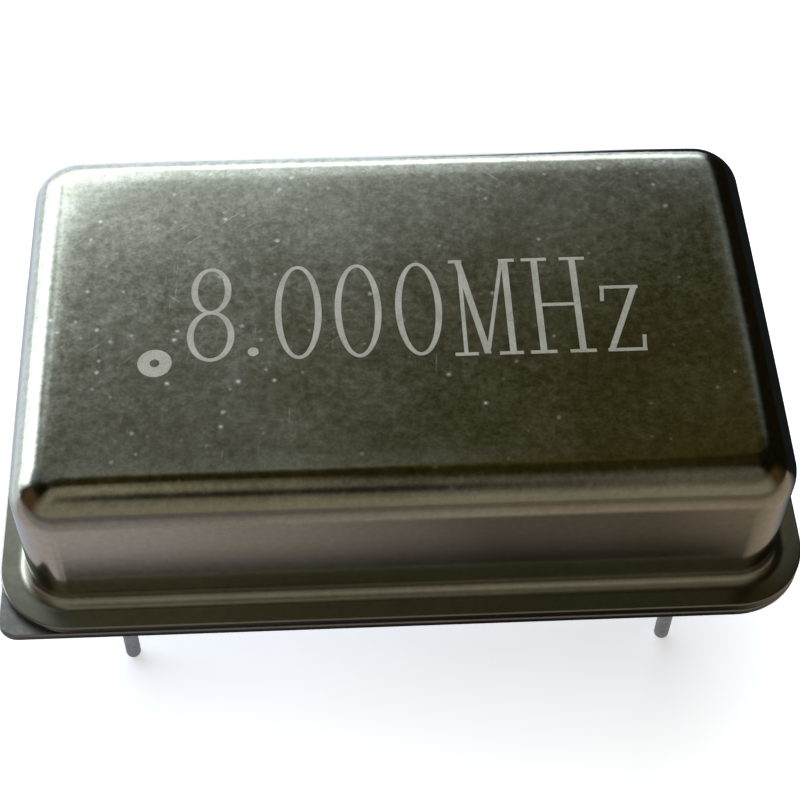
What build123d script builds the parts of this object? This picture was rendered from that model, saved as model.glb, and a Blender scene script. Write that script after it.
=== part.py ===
from build123d import *

import os

# Crystal oscillator in a welded metal can with four leads. Millimetres, +Z up.
# The origin is the centre of the lead pattern on the seating plane, which is the header's underside.
# The header's one nearly square corner, which marks lead 1, lies at -X -Y.

os.makedirs("parts", exist_ok=True)

# Lead pattern, the dual in-line grid of the board
lead_pitch_x = 15.24
lead_pitch_y = 7.62

# Leads: round wire, tinned below the seating plane and bare where the glass grips it
lead_radius = 0.21
lead_core_radius = 0.19
lead_length = 5.92
lead_rise = 0.55
lead_tip_chamfer = 0.08

# Cover: one deep-drawn sheet, with the domed box, the flange and the weld ridge under the flange
end_margin = 1.945
side_margin = 1.99
can_height = 4.9
cover_sheet = 0.25
dome_edge_radius = 1.0
dome_top_corner_radius = 0.17
flange_overhang = 0.75
flange_bend_radius = 0.33
flange_edge_chamfer = 0.04
weld_height = 0.05
weld_inset = 0.15
weld_width = 0.2

# Header: a stamped plate, thin at its rim and raised to a platform inside the cover
rim_thickness = 0.22
square_corner_radius = 0.52
rim_edge_chamfer = 0.05
platform_height = 1.2
platform_gap = 0.2
platform_edge_chamfer = 0.1

# Seals in the header: glass round the insulated leads, braze round the ground lead
seal_radius = 0.8
braze_radius = 0.45
seal_recess = 0.07

# Substrate: an alumina plate bonded to the platform, pierced for the leads
bond_thickness = 0.12
bond_margin = 0.35
bond_corner_chamfer = 0.6
substrate_thickness = 0.635
substrate_gap = 0.6
lead_hole_clearance = 0.1

# Printed films on the substrate
film_thickness = 0.02
track_width = 0.3
lead_pad_width = 1.3
pad_margin = 0.15
resistor_width = 0.8
crystal_track_share = 0.5

# Solder joint round each lead
solder_radius = 0.55
solder_rise = 0.4

# Quartz blank with an electrode on each side
quartz_radius = 4.0
quartz_thickness = 0.21
crystal_offset = 2.4
crystal_height_share = 0.38
electrode_radius = 2.5
electrode_tab_width = 1.0

# Spring clips that carry the blank, bent from strip, and the cement that holds it in them
clip_sheet = 0.12
clip_width = 1.2
clip_bend_radius = 0.15
clip_foot_length = 0.9
cement_radius = 0.4
cement_overhang = 0.15
cement_cap = 0.12

# Oscillator die with its bond, and the gold ribbons from the die to the tracks
die_length = 1.4
die_width = 1.3
die_thickness = 0.3
die_setback = 1.9
die_bond_thickness = 0.03
die_bond_margin = 0.08
die_pad_inset = 0.15
ribbon_thickness = 0.06
ribbon_width = 0.12
ribbon_span = 0.7
ribbon_pitch = 0.45
ribbon_foot = 0.06

# Bypass capacitor, a ceramic chip with a metal cup on each end
capacitor_length = 2.0
capacitor_width = 1.25
capacitor_height = 0.9
capacitor_offset = 2.3
terminal_length = 0.45
terminal_wall = 0.05
terminal_edge_chamfer = 0.05

# Outlines that follow from the sizes above
lead_x = lead_pitch_x / 2
lead_y = lead_pitch_y / 2
lead_places = {
    "lead_1": (-lead_x, -lead_y),
    "lead_7": (lead_x, -lead_y),
    "lead_8": (lead_x, lead_y),
    "lead_14": (-lead_x, lead_y),
}
ground_lead = "lead_7"
dome_length = lead_pitch_x + 2 * end_margin
dome_width = lead_pitch_y + 2 * side_margin
dome_corner_radius = dome_edge_radius + dome_top_corner_radius
cavity_length = dome_length - 2 * cover_sheet
cavity_width = dome_width - 2 * cover_sheet
cavity_corner_radius = dome_corner_radius - cover_sheet
flange_length = dome_length + 2 * flange_overhang
flange_width = dome_width + 2 * flange_overhang
flange_corner_radius = dome_corner_radius + flange_overhang
platform_length = cavity_length - 2 * platform_gap
platform_width = cavity_width - 2 * platform_gap
platform_corner_radius = cavity_corner_radius - platform_gap
substrate_length = cavity_length - 2 * substrate_gap
substrate_width = cavity_width - 2 * substrate_gap
lead_hole_radius = lead_core_radius + lead_hole_clearance

# Heights above the seating plane
flange_base = rim_thickness + weld_height
ceiling = can_height - cover_sheet
substrate_base = platform_height + bond_thickness
substrate_top = substrate_base + substrate_thickness
track_top = substrate_top + film_thickness
lead_top = track_top + lead_rise
die_base = track_top + die_bond_thickness
die_top = die_base + die_thickness
shelf_top = track_top + crystal_height_share * (ceiling - track_top)
quartz_base = shelf_top + film_thickness
quartz_top = quartz_base + quartz_thickness

# Places on the substrate, from the blank's centre outwards to its clips, the die and the capacitor
riser_reach = quartz_radius + cement_overhang + clip_bend_radius
shelf_length = clip_bend_radius + 2 * cement_radius
foot_reach = riser_reach + clip_foot_length / 2
left_foot_x = crystal_offset - foot_reach
right_foot_x = crystal_offset + foot_reach
die_x = left_foot_x - clip_foot_length / 2 - die_setback
landing_reach = die_length / 2 + ribbon_span
left_landing_x = die_x - landing_reach
right_landing_x = die_x + landing_reach
terminal_span = capacitor_length - terminal_length
capacitor_x = die_x - terminal_span / 2
far_terminal_x = die_x - terminal_span
crystal_track_y = -crystal_track_share * lead_y
clip_pad_length = clip_foot_length + 2 * pad_margin
clip_pad_width = clip_width + 2 * pad_margin


def upright_plane(x, y):
    """The vertical plane through a place, with its own x along X and its own y along Z."""
    return Plane((x, y, 0), x_dir=(1, 0, 0), z_dir=(0, -1, 0))


# Header, with a hole for each seal
with BuildPart() as header:
    with BuildSketch() as rim_outline:
        Rectangle(flange_length, flange_width)
        first_corner = (-flange_length / 2, -flange_width / 2)
        fillet(rim_outline.vertices().sort_by_distance(first_corner)[1:], flange_corner_radius)
        fillet(rim_outline.vertices().sort_by_distance(first_corner)[0], square_corner_radius)
    extrude(amount=rim_thickness)
    chamfer(header.faces().filter_by(Plane.XY).edges(), rim_edge_chamfer)
    with BuildSketch(Plane.XY.offset(rim_thickness)):
        RectangleRounded(platform_length, platform_width, platform_corner_radius)
    extrude(amount=platform_height - rim_thickness)
    chamfer(header.faces().sort_by(Axis.Z)[-1].edges(), platform_edge_chamfer)
    for lead_name, place in lead_places.items():
        with Locations(place):
            Hole(braze_radius if lead_name == ground_lead else seal_radius)
header.part.label = "header"
export_step(header.part, "parts/header.step")


# Leads
def make_lead(x, y):
    """One lead: a tinned wire with a blunted tip, and its bare core up through the header."""
    with BuildPart() as lead:
        with BuildSketch(upright_plane(x, y)):
            with BuildLine():
                Polyline(
                    (lead_radius, lead_tip_chamfer - lead_length),
                    (lead_radius, 0),
                    (lead_core_radius, 0),
                    (lead_core_radius, lead_top),
                    (0, lead_top),
                    (0, -lead_length),
                    (lead_radius - lead_tip_chamfer, -lead_length),
                    close=True,
                )
            make_face()
        revolve(axis=Axis((x, y, 0), (0, 0, 1)))
    return lead


for lead_name, place in lead_places.items():
    lead = make_lead(*place)
    lead.part.label = lead_name
    export_step(lead.part, f"parts/{lead_name}.step")


# Seals, with both ends set back from the header's faces
def make_seal(x, y, outer_radius):
    """A ring that fills a header hole round a lead's core."""
    with BuildPart() as seal:
        with BuildSketch(Plane((x, y, seal_recess))):
            Circle(outer_radius)
            Circle(lead_core_radius, mode=Mode.SUBTRACT)
        extrude(amount=platform_height - 2 * seal_recess)
    return seal


for lead_name, place in lead_places.items():
    if lead_name != ground_lead:
        seal_name = lead_name.replace("lead", "glass_seal")
        glass_seal = make_seal(*place, seal_radius)
        glass_seal.part.label = seal_name
        export_step(glass_seal.part, f"parts/{seal_name}.step")

ground_braze = make_seal(*lead_places[ground_lead], braze_radius)
ground_braze.part.label = "ground_braze"
export_step(ground_braze.part, "parts/ground_braze.step")

# Epoxy bond between the platform and the substrate, clear of the seals
with BuildPart() as substrate_bond:
    with BuildSketch(Plane.XY.offset(platform_height)) as bond_outline:
        bond_length = lead_pitch_x - 2 * (seal_radius + bond_margin)
        bond_width = substrate_width - 2 * bond_margin
        Rectangle(bond_length, bond_width)
        chamfer(bond_outline.vertices(), bond_corner_chamfer)
    extrude(amount=bond_thickness)
substrate_bond.part.label = "substrate_bond"
export_step(substrate_bond.part, "parts/substrate_bond.step")

# Substrate
with BuildPart() as substrate:
    with BuildSketch(Plane.XY.offset(substrate_base)):
        Rectangle(substrate_length, substrate_width)
        with Locations(*lead_places.values()):
            Circle(lead_hole_radius, mode=Mode.SUBTRACT)
    extrude(amount=substrate_thickness)
substrate.part.label = "substrate"
export_step(substrate.part, "parts/substrate.step")


# Conductor tracks: one flat figure for each net, printed on the substrate
def draw_track(*points):
    """A track of one width along straight runs, drawn into the sketch that is open."""
    for (x0, y0), (x1, y1) in zip(points, points[1:]):
        with Locations(((x0 + x1) / 2, (y0 + y1) / 2)):
            Rectangle(abs(x1 - x0) + track_width, abs(y1 - y0) + track_width)


def draw_pad(x, y, length, width):
    """A rectangular pad, drawn into the sketch that is open."""
    with Locations((x, y)):
        Rectangle(length, width)


terminal_pad_length = terminal_length + 2 * pad_margin
terminal_pad_width = capacitor_width + 2 * pad_margin
with BuildPart() as conductor_tracks:
    with BuildSketch(Plane.XY.offset(substrate_top)):
        with Locations(*lead_places.values()):
            Rectangle(lead_pad_width, lead_pad_width)
        # supply, from lead 14 past the capacitor to the die
        draw_track(lead_places["lead_14"], (left_landing_x, lead_y), (left_landing_x, ribbon_pitch))
        draw_track((left_landing_x, capacitor_offset), (far_terminal_x, capacitor_offset))
        draw_pad(far_terminal_x, capacitor_offset, terminal_pad_length, terminal_pad_width)
        # ground, from lead 7 to the pad under the die and on to the capacitor
        draw_track(lead_places["lead_7"], (die_x, -lead_y), (die_x, capacitor_offset))
        draw_track((die_x, 0), (left_landing_x, 0))
        draw_pad(die_x, 0, die_length + 2 * pad_margin, die_width + 2 * pad_margin)
        draw_pad(die_x, capacitor_offset, terminal_pad_length, terminal_pad_width)
        # output, from the die to lead 8
        draw_track(lead_places["lead_8"], (right_landing_x, lead_y), (right_landing_x, ribbon_pitch))
        # enable, from lead 1 to the die
        draw_track(lead_places["lead_1"], (left_landing_x, -lead_y), (left_landing_x, -ribbon_pitch))
        # crystal, from each clip to the die
        draw_pad(left_foot_x, 0, clip_pad_length, clip_pad_width)
        draw_track((left_foot_x, 0), (right_landing_x, 0))
        draw_pad(right_foot_x, 0, clip_pad_length, clip_pad_width)
        draw_track(
            (right_foot_x, 0),
            (right_foot_x, crystal_track_y),
            (right_landing_x, crystal_track_y),
            (right_landing_x, -ribbon_pitch),
        )
        with Locations(*lead_places.values()):
            Circle(lead_hole_radius, mode=Mode.SUBTRACT)
    extrude(amount=film_thickness)
conductor_tracks.part.label = "conductor_tracks"
export_step(conductor_tracks.part, "parts/conductor_tracks.step")

# Printed resistor, which bridges the two crystal nets
with BuildPart() as printed_resistor:
    with BuildSketch(Plane.XY.offset(substrate_top)):
        resistor_start = crystal_track_y + track_width / 2
        resistor_end = -clip_pad_width / 2
        resistor_y = (resistor_start + resistor_end) / 2
        draw_pad(left_foot_x, resistor_y, resistor_width, resistor_end - resistor_start)
    extrude(amount=film_thickness)
printed_resistor.part.label = "printed_resistor"
export_step(printed_resistor.part, "parts/printed_resistor.step")


# Solder joints: each stands on a lead's pad and climbs the lead in a cone
def make_solder_joint(x, y):
    """The solder round one lead, from its pad to a little below the lead's end."""
    with BuildPart() as joint:
        with BuildSketch(upright_plane(x, y)):
            with BuildLine():
                Polyline(
                    (lead_core_radius, track_top),
                    (solder_radius, track_top),
                    (lead_core_radius, track_top + solder_rise),
                    close=True,
                )
            make_face()
        revolve(axis=Axis((x, y, 0), (0, 0, 1)))
    return joint


for lead_name, place in lead_places.items():
    joint_name = lead_name.replace("lead", "solder_joint")
    solder_joint = make_solder_joint(*place)
    solder_joint.part.label = joint_name
    export_step(solder_joint.part, f"parts/{joint_name}.step")

# Die and the bond under it
with BuildPart() as die_bond:
    with BuildSketch(Plane.XY.offset(track_top)):
        draw_pad(die_x, 0, die_length + 2 * die_bond_margin, die_width + 2 * die_bond_margin)
    extrude(amount=die_bond_thickness)
die_bond.part.label = "die_bond"
export_step(die_bond.part, "parts/die_bond.step")

with BuildPart() as oscillator_die:
    with BuildSketch(Plane.XY.offset(die_base)):
        draw_pad(die_x, 0, die_length, die_width)
    extrude(amount=die_thickness)
oscillator_die.part.label = "oscillator_die"
export_step(oscillator_die.part, "parts/oscillator_die.step")

# Bond ribbons: each rises from the die, loops over its edge and drops onto the end of a track
with BuildPart() as bond_ribbons:
    for side in (-1, 1):
        start_x = die_x + side * (die_length / 2 - die_pad_inset)
        end_x = die_x + side * landing_reach
        loop_base = die_top + ribbon_foot
        crown = ((start_x + end_x) / 2, loop_base + abs(end_x - start_x) / 2)
        for row in (-1, 0, 1):
            with BuildSketch(upright_plane(0, row * ribbon_pitch)):
                with BuildLine():
                    rise = Line((start_x, die_top), (start_x, loop_base))
                    loop = ThreePointArc(rise @ 1, crown, (end_x, loop_base))
                    Line(loop @ 1, (end_x, track_top))
                trace(line_width=ribbon_thickness)
            extrude(amount=ribbon_width / 2, both=True)
bond_ribbons.part.label = "bond_ribbons"
export_step(bond_ribbons.part, "parts/bond_ribbons.step")

# Bypass capacitor, on the supply and ground pads
capacitor_middle = track_top + capacitor_height / 2
with BuildPart() as capacitor_body:
    with Locations((capacitor_x, capacitor_offset, capacitor_middle)):
        Box(
            capacitor_length - 2 * terminal_wall,
            capacitor_width - 2 * terminal_wall,
            capacitor_height - 2 * terminal_wall,
        )
capacitor_body.part.label = "capacitor_body"
export_step(capacitor_body.part, "parts/capacitor_body.step")

with BuildPart() as capacitor_terminals:
    terminal_places = [(x, capacitor_offset, capacitor_middle) for x in (far_terminal_x, die_x)]
    with Locations(*terminal_places):
        Box(terminal_length, capacitor_width, capacitor_height)
    ends = capacitor_terminals.faces().filter_by(Axis.X).sort_by(Axis.X)
    chamfer(ends[0].edges() + ends[-1].edges(), terminal_edge_chamfer)
    add(capacitor_body.part, mode=Mode.SUBTRACT)
capacitor_terminals.part.label = "capacitor_terminals"
export_step(capacitor_terminals.part, "parts/capacitor_terminals.step")


# Crystal clips: a foot on the track, a riser and a shelf under the blank's edge
def make_clip(side):
    """One clip, bent from strip, on the given side of the blank."""
    riser_x = crystal_offset + side * riser_reach
    foot_z = track_top + clip_sheet / 2
    shelf_z = shelf_top - clip_sheet / 2
    with BuildPart() as clip:
        with BuildSketch(Plane.XZ):
            with BuildLine():
                FilletPolyline(
                    (riser_x + side * clip_foot_length, foot_z),
                    (riser_x, foot_z),
                    (riser_x, shelf_z),
                    (riser_x - side * shelf_length, shelf_z),
                    radius=clip_bend_radius,
                )
            trace(line_width=clip_sheet)
        extrude(amount=clip_width / 2, both=True)
    return clip


crystal_clip_left = make_clip(-1)
crystal_clip_left.part.label = "crystal_clip_left"
export_step(crystal_clip_left.part, "parts/crystal_clip_left.step")

crystal_clip_right = make_clip(1)
crystal_clip_right.part.label = "crystal_clip_right"
export_step(crystal_clip_right.part, "parts/crystal_clip_right.step")

# Quartz blank, a lapped disc
with BuildPart() as quartz_blank:
    with BuildSketch(Plane((crystal_offset, 0, quartz_base))):
        Circle(quartz_radius)
    extrude(amount=quartz_thickness)
quartz_blank.part.label = "quartz_blank"
export_step(quartz_blank.part, "parts/quartz_blank.step")


# Electrodes: a round film on each face of the blank, with a tab out to its own clip
def make_electrode(height, side):
    """One electrode, with its underside at a height and its tab on one side."""
    tab_length = quartz_radius
    with BuildPart() as electrode:
        with BuildSketch(Plane((crystal_offset, 0, height))):
            Circle(electrode_radius)
            with Locations((side * tab_length / 2, 0)):
                Rectangle(tab_length, electrode_tab_width)
            Circle(quartz_radius, mode=Mode.INTERSECT)
        extrude(amount=film_thickness)
    return electrode


electrode_upper = make_electrode(quartz_top, -1)
electrode_upper.part.label = "electrode_upper"
export_step(electrode_upper.part, "parts/electrode_upper.step")

electrode_lower = make_electrode(shelf_top, 1)
electrode_lower.part.label = "electrode_lower"
export_step(electrode_lower.part, "parts/electrode_lower.step")


# Cement: a dot on each shelf that grips the blank's edge and wets the electrode's tab
def make_cement(side):
    """One dot of cement, shaped by the blank and the electrodes that it holds."""
    dot_x = crystal_offset + side * (quartz_radius + cement_overhang - cement_radius)
    with BuildPart() as cement:
        with BuildSketch(Plane((dot_x, 0, shelf_top))):
            Circle(cement_radius)
        extrude(amount=quartz_top + film_thickness + cement_cap - shelf_top)
        add(quartz_blank.part, mode=Mode.SUBTRACT)
        add(electrode_upper.part, mode=Mode.SUBTRACT)
        add(electrode_lower.part, mode=Mode.SUBTRACT)
    return cement


cement_left = make_cement(-1)
cement_left.part.label = "cement_left"
export_step(cement_left.part, "parts/cement_left.step")

cement_right = make_cement(1)
cement_right.part.label = "cement_right"
export_step(cement_right.part, "parts/cement_right.step")


# Cover, drawn from one sheet: the domed box with its cavity, the flange and the weld ridge
def make_dome(length, width, corner_radius, top, edge_radius):
    """A box on the flange's level, round at its corners and all round its top."""
    with BuildPart() as dome:
        with BuildSketch(Plane.XY.offset(flange_base)):
            RectangleRounded(length, width, corner_radius)
        extrude(amount=top - flange_base)
        fillet(dome.faces().sort_by(Axis.Z)[-1].edges(), edge_radius)
    return dome


dome = make_dome(dome_length, dome_width, dome_corner_radius, can_height, dome_edge_radius)
cavity_edge_radius = dome_edge_radius - cover_sheet
cavity = make_dome(cavity_length, cavity_width, cavity_corner_radius, ceiling, cavity_edge_radius)
# The mouth's flat bevel touches, at its middle, the arc that would run parallel to the flange's bend.
bevel_to_arc_share = 2 - 2**0.5
mouth_bevel = bevel_to_arc_share * (flange_bend_radius + cover_sheet)

with BuildPart() as cover:
    with BuildSketch(Plane.XY.offset(flange_base)):
        RectangleRounded(flange_length, flange_width, flange_corner_radius)
    extrude(amount=cover_sheet)
    chamfer(cover.faces().sort_by(Axis.Z)[-1].edges(), flange_edge_chamfer)
    add(dome.part)
    level_faces = cover.faces().filter_by(Plane.XY).sort_by(Axis.Z)
    fillet(level_faces[1].inner_wires()[0].edges(), flange_bend_radius)
    add(cavity.part, mode=Mode.SUBTRACT)
    level_faces = cover.faces().filter_by(Plane.XY).sort_by(Axis.Z)
    chamfer(level_faces[0].inner_wires()[0].edges(), mouth_bevel)
    with BuildSketch(Plane.XY.offset(rim_thickness)):
        for inset, mode in ((weld_inset, Mode.ADD), (weld_inset + weld_width, Mode.SUBTRACT)):
            RectangleRounded(
                flange_length - 2 * inset,
                flange_width - 2 * inset,
                flange_corner_radius - inset,
                mode=mode,
            )
    extrude(amount=weld_height)
cover.part.label = "cover"
export_step(cover.part, "parts/cover.step")
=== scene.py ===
import math

import bmesh
import bpy
from mathutils import Matrix, Vector


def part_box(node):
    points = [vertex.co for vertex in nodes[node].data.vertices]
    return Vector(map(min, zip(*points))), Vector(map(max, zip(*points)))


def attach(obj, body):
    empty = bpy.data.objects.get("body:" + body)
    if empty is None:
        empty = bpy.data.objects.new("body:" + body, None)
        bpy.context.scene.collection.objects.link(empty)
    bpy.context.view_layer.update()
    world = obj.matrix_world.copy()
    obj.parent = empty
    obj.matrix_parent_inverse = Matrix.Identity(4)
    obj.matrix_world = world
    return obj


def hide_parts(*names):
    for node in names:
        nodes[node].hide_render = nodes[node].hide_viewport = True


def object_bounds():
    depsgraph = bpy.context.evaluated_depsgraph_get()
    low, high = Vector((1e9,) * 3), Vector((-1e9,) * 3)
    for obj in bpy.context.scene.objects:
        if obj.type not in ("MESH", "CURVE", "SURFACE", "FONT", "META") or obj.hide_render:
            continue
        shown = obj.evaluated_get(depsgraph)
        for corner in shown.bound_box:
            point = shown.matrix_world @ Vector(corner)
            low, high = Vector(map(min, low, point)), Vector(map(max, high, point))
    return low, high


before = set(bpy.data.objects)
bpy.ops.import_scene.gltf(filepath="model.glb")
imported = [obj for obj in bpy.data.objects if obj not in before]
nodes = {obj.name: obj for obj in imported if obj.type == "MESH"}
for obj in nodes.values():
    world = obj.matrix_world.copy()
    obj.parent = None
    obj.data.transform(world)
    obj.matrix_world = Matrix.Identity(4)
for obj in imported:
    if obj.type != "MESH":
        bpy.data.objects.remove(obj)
cad_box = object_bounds()


# Header: the steel plate that closes the can from below, stamped and nickel plated. Three corners follow
# the cover's flange and the fourth is left nearly square to mark lead 1. A platform rises inside the
# cover, and four holes take the leads with their seals.
mm = 0.001
hair = 0.0002 * mm
lead_names = ("lead_1", "lead_7", "lead_8", "lead_14")
ground_lead = "lead_7"
header_low, header_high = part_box("header")
rim_top = 0.22 * mm
rim_edge_radius = 0.05 * mm
round_corner_radius = 1.92 * mm
square_corner_radius = 0.52 * mm
platform_inset = 1.2 * mm
platform_corner_radius = 0.72 * mm
platform_edge_radius = 0.1 * mm
seal_radius = 0.8 * mm
braze_radius = 0.45 * mm
header_steel_dark = (0.27, 0.262, 0.23, 1)
header_steel_light = (0.38, 0.37, 0.33, 1)
# Bare cut edges, painted near black: partly the steel's own darker colour, partly painted shade in the seam
# under the flange
bare_edge_with_painted_shade = (0.075, 0.066, 0.052, 1)
header_spot = 0.12 * mm
satin_depth = 0.0008 * mm
satin_cloud_to_spot = 14


def start_plate(name, low, high, height):
    """Adds a flat rectangle between two corners at a height, and opens it in edit mode, all selected."""
    bpy.ops.object.select_all(action="DESELECT")
    bpy.ops.mesh.primitive_plane_add(size=1)
    plate = bpy.context.object
    plate.name = plate.data.name = name
    plate.scale = (high.x - low.x, high.y - low.y, 1)
    plate.location = ((low.x + high.x) / 2, (low.y + high.y) / 2, height)
    bpy.ops.object.transform_apply(location=True, rotation=True, scale=True)
    bpy.ops.object.mode_set(mode="EDIT")
    bpy.ops.mesh.select_all(action="SELECT")
    return plate


def pick(kind, passes):
    """Selects those vertices, edges or faces of the open mesh whose points all pass a test."""
    bpy.ops.mesh.select_mode(type=kind)
    bpy.ops.mesh.select_all(action="DESELECT")
    shape = bmesh.from_edit_mesh(bpy.context.object.data)
    items = {"VERT": shape.verts, "EDGE": shape.edges, "FACE": shape.faces}[kind]
    for item in items:
        points = [item.co] if kind == "VERT" else [vertex.co for vertex in item.verts]
        item.select_set(all(passes(point) for point in points))
    bmesh.update_edit_mesh(bpy.context.object.data)


def raise_faces(height):
    """Extrudes what is selected straight up."""
    bpy.ops.mesh.extrude_region_move(TRANSFORM_OT_translate={"value": (0, 0, height)})


def finish_modifier(piece, kind, **settings):
    """Puts a modifier on a piece, sets it and applies it."""
    bpy.context.view_layer.objects.active = piece
    bpy.ops.object.modifier_add(type=kind)
    modifier = piece.modifiers[-1]
    for name, value in settings.items():
        setattr(modifier, name, value)
    bpy.ops.object.modifier_apply(modifier=modifier.name)


def smooth_surface(piece, sharp_angle=40):
    """Shades a piece smooth, with flat faces kept flat and only the sharp edges left hard."""
    bpy.ops.object.select_all(action="DESELECT")
    piece.select_set(True)
    bpy.context.view_layer.objects.active = piece
    bpy.ops.object.shade_smooth_by_angle(angle=math.radians(sharp_angle))
    finish_modifier(piece, "WEIGHTED_NORMAL", mode="FACE_AREA", weight=50, keep_sharp=True)


def dress(piece, material):
    """Gives a piece one material."""
    piece.data.materials.clear()
    piece.data.materials.append(material)


def add_node(tree, kind, inputs=None, **settings):
    """Adds a shader node. A socket given for an input is linked to it, and a plain value is set on it."""
    made = tree.nodes.new("ShaderNode" + kind)
    for name, value in settings.items():
        setattr(made, name, value)
    for name, value in (inputs or {}).items():
        if isinstance(value, bpy.types.NodeSocket):
            tree.links.new(value, made.inputs[name])
        else:
            made.inputs[name].default_value = value
    return made


def start_material(name):
    """A new material with its node tree, its shader and the place on the object."""
    material = bpy.data.materials.new(name)
    material.use_nodes = True
    tree = material.node_tree
    place = add_node(tree, "TexCoord").outputs["Object"]
    return material, tree, tree.nodes["Principled BSDF"], place


def grain(tree, place, size, detail=3.0, roughness=0.55, stretch=(1, 1, 1), turn=0.0):
    """A noise from 0 to 1 whose spots are about one size across, and longer where stretched."""
    turned = add_node(tree, "Mapping", {"Vector": place, "Rotation": (0, 0, turn)}, vector_type="TEXTURE")
    scales = [1 / (size * share) for share in stretch]
    scaled = add_node(tree, "Mapping", {"Vector": turned.outputs[0], "Scale": scales})
    inputs = {"Vector": scaled.outputs[0], "Scale": 1.0, "Detail": detail, "Roughness": roughness}
    return add_node(tree, "TexNoise", inputs).outputs["Fac"]


def spread(tree, value, low, high, to_low=0.0, to_high=1.0):
    """Stretches a value from one range to another, clamped at both ends."""
    inputs = {"Value": value, "From Min": low, "From Max": high, "To Min": to_low, "To Max": to_high}
    return add_node(tree, "MapRange", inputs).outputs["Result"]


def combine(tree, operation, first, second):
    """One sum on two values."""
    return add_node(tree, "Math", {0: first, 1: second}, operation=operation).outputs[0]


def weigh(tree, first, second, share):
    """Two values added, the second by its share and the first by the rest."""
    kept = combine(tree, "MULTIPLY", first, 1 - share)
    return combine(tree, "ADD", kept, combine(tree, "MULTIPLY", second, share))


def tone(tree, value, first, last):
    """A colour between two, read by a value from 0 to 1."""
    ramp = add_node(tree, "ValToRGB", {"Fac": value})
    ramp.color_ramp.elements[0].color = first
    ramp.color_ramp.elements[1].color = last
    return ramp.outputs["Color"]


def relief(tree, height, depth):
    """A bump of a given depth."""
    return add_node(tree, "Bump", {"Height": height, "Distance": depth, "Strength": 1.0}).outputs["Normal"]


def metal_finish(name, dark, light, spot, gloss=(0.24, 0.36), depth=satin_depth, metallic=1.0):
    """A satin metal: clouds and fine spots in its colour, an uneven gloss and a fine relief."""
    material, tree, shader, place = start_material(name)
    clouds = grain(tree, place, satin_cloud_to_spot * spot)
    spots = grain(tree, place, spot, detail=2.0)
    mix = weigh(tree, clouds, spots, 0.5)
    links = tree.links
    links.new(tone(tree, spread(tree, mix, 0.36, 0.64), dark, light), shader.inputs["Base Color"])
    links.new(spread(tree, mix, 0.36, 0.64, *gloss), shader.inputs["Roughness"])
    links.new(relief(tree, spots, depth), shader.inputs["Normal"])
    shader.inputs["Metallic"].default_value = metallic
    return material


def header_finish():
    """Satin plate, with the rim's cut edge left bare and painted much darker than the faces, a painted shade
    under the flange's edge.
    """
    material = metal_finish(
        "plated_header", header_steel_dark, header_steel_light, header_spot, gloss=(0.3, 0.4),
    )
    tree = material.node_tree
    shader = tree.nodes["Principled BSDF"]
    plated = shader.inputs["Base Color"].links[0].from_socket
    place = add_node(tree, "TexCoord").outputs["Object"]
    height = add_node(tree, "SeparateXYZ", {"Vector": place}).outputs["Z"]
    # Painted shade: the rim's cut edge is painted near black for the shade under the flange's edge
    over_foot = spread(tree, height, header_low.z, header_low.z + rim_edge_radius)
    under_top = spread(tree, height, rim_top - 0.2 * rim_edge_radius, rim_top - rim_edge_radius)
    on_cut = combine(tree, "MULTIPLY", over_foot, under_top)
    mixed = add_node(tree, "MixRGB", {"Fac": on_cut, "Color1": plated, "Color2": bare_edge_with_painted_shade})
    tree.links.new(mixed.outputs[0], shader.inputs["Base Color"])
    return material


def at_corner(point, low, high):
    """Whether a point lies on one of the four corners of a rectangle."""
    on_end = min(abs(point.x - low.x), abs(point.x - high.x)) < hair
    return on_end and min(abs(point.y - low.y), abs(point.y - high.y)) < hair


header = start_plate("header_plate", header_low, header_high, header_low.z)
pick("VERT", lambda p: p.x < 0 and p.y < 0)
bpy.ops.mesh.bevel(offset=square_corner_radius, segments=12, affect="VERTICES")
pick("VERT", lambda p: at_corner(p, header_low, header_high))
bpy.ops.mesh.bevel(offset=round_corner_radius, segments=24, affect="VERTICES")
bpy.ops.mesh.select_all(action="SELECT")
raise_faces(rim_top - header_low.z)
bpy.ops.mesh.select_all(action="SELECT")
bpy.ops.mesh.normals_make_consistent(inside=False)
pick("EDGE", lambda p: abs(p.z - header_low.z) < hair)
bpy.ops.mesh.bevel(offset=rim_edge_radius, segments=3, affect="EDGES")
pick("EDGE", lambda p: abs(p.z - rim_top) < hair)
bpy.ops.mesh.bevel(offset=rim_edge_radius, segments=3, affect="EDGES")
bpy.ops.object.mode_set(mode="OBJECT")

platform_margin = Vector((platform_inset, platform_inset, 0))
platform_low = header_low + platform_margin
platform_high = header_high - platform_margin
platform = start_plate("platform", platform_low, platform_high, rim_top / 2)
bpy.ops.mesh.bevel(offset=platform_corner_radius, segments=12, affect="VERTICES")
bpy.ops.mesh.select_all(action="SELECT")
raise_faces(header_high.z - rim_top / 2)
bpy.ops.mesh.select_all(action="SELECT")
bpy.ops.mesh.normals_make_consistent(inside=False)
pick("EDGE", lambda p: abs(p.z - header_high.z) < hair)
bpy.ops.mesh.bevel(offset=platform_edge_radius, segments=3, affect="EDGES")
bpy.ops.object.mode_set(mode="OBJECT")
finish_modifier(header, "BOOLEAN", operation="UNION", object=platform, solver="EXACT")
bpy.data.objects.remove(platform)

for lead in lead_names:
    lead_low, lead_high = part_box(lead)
    middle = (lead_low + lead_high) / 2
    bpy.ops.object.select_all(action="DESELECT")
    hole_radius = braze_radius if lead == ground_lead else seal_radius
    bpy.ops.mesh.primitive_cylinder_add(vertices=64, radius=hole_radius, depth=4 * header_high.z)
    drill = bpy.context.object
    drill.location = (middle.x, middle.y, header_high.z / 2)
    bpy.ops.object.transform_apply(location=True, rotation=True, scale=True)
    finish_modifier(header, "BOOLEAN", operation="DIFFERENCE", object=drill, solver="EXACT")
    bpy.data.objects.remove(drill)
smooth_surface(header)
dress(header, header_finish())
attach(header, "root")
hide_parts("header")


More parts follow.
